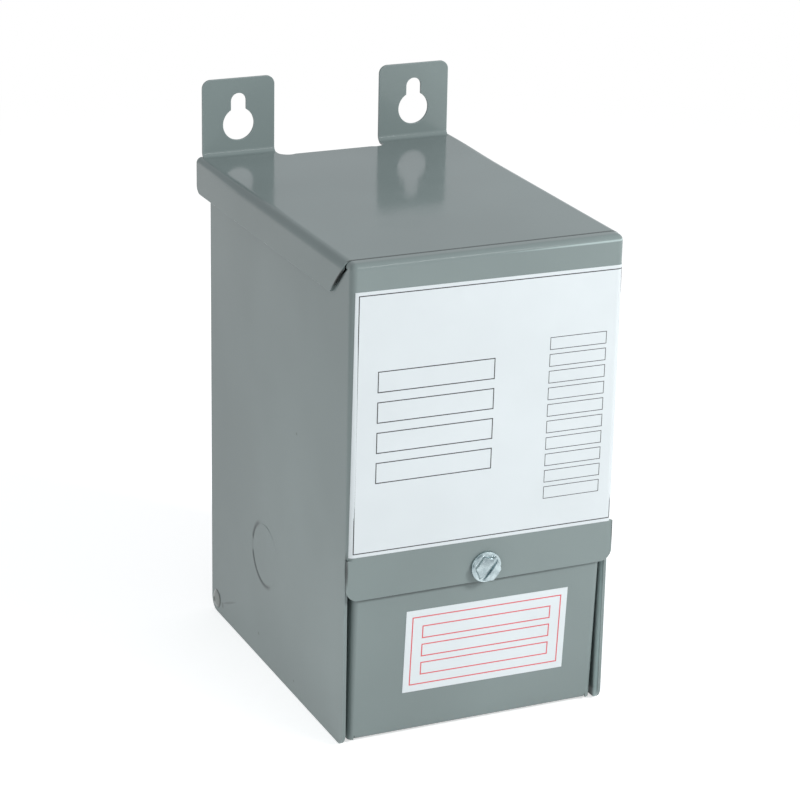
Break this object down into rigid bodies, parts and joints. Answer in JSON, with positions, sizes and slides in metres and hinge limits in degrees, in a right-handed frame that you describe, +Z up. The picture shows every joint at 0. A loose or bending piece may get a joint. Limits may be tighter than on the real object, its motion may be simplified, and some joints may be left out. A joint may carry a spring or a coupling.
{
  "type": "buck boost transformer",
  "caption": "Small potted dry-type transformer in a folded grey steel case, with bent-up keyhole tabs to hang it on a wall and a screwed cover over its wiring space.",
  "frame": {"origin": "on the floor under the middle of the whole part, at the lower edges of the side walls", "axes": "+Z up, the front with the screw faces -Y, the hanging tabs lie against a wall at +Y"},
  "size_m": [0.0956, 0.1365, 0.1896],
  "materials": {
    "case_paint": "semi-gloss grey enamel",
    "zinc_screw": "bright zinc plating",
    "sticker": "satin white film",
    "potting": "cast potting compound with sand"
  },
  "bodies": {
    "root": {"housing_wrap": "case_paint", "top_cover": "case_paint", "back_panel": "case_paint", "lower_cover": "case_paint", "left_rivet": "case_paint", "right_rivet": "case_paint", "left_knockout": "case_paint", "right_knockout": "case_paint", "cover_screw": "zinc_screw", "nameplate": "sticker", "notice_label": "sticker", "potting_fill": "potting"}
  },
  "joints": []
}
